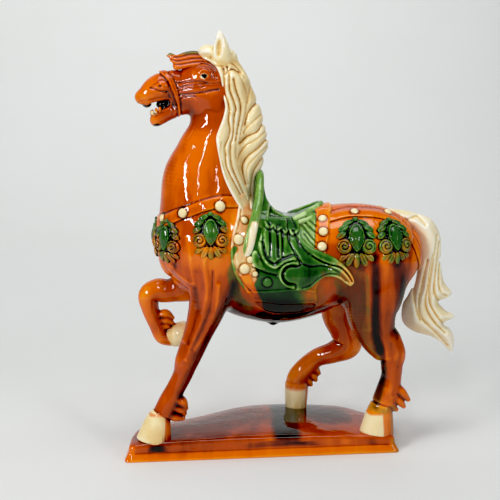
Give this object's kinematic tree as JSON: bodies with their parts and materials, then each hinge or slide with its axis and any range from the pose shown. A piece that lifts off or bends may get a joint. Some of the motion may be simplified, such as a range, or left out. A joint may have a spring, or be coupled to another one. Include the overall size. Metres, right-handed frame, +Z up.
{
  "type": "glazed pottery horse figure",
  "caption": "Striding saddled horse in three-colour glazed pottery, with harness ornaments and a wavy mane, on a low plinth.",
  "frame": {"origin": "on the plinth's flat underside, below the horse's middle plane and halfway along the plinth", "axes": "+Z up, -X the way the horse faces, -Y the near side that carries the mane's long locks in view"},
  "size_m": [0.3463, 0.1294, 0.418],
  "materials": {
    "three_colour_glaze": "clear gloss glaze: amber body, cream mane, tail and hooves, green saddle, dark runs where colours pool"
  },
  "bodies": {
    "root": {"sancai_horse": "three_colour_glaze"}
  },
  "joints": []
}
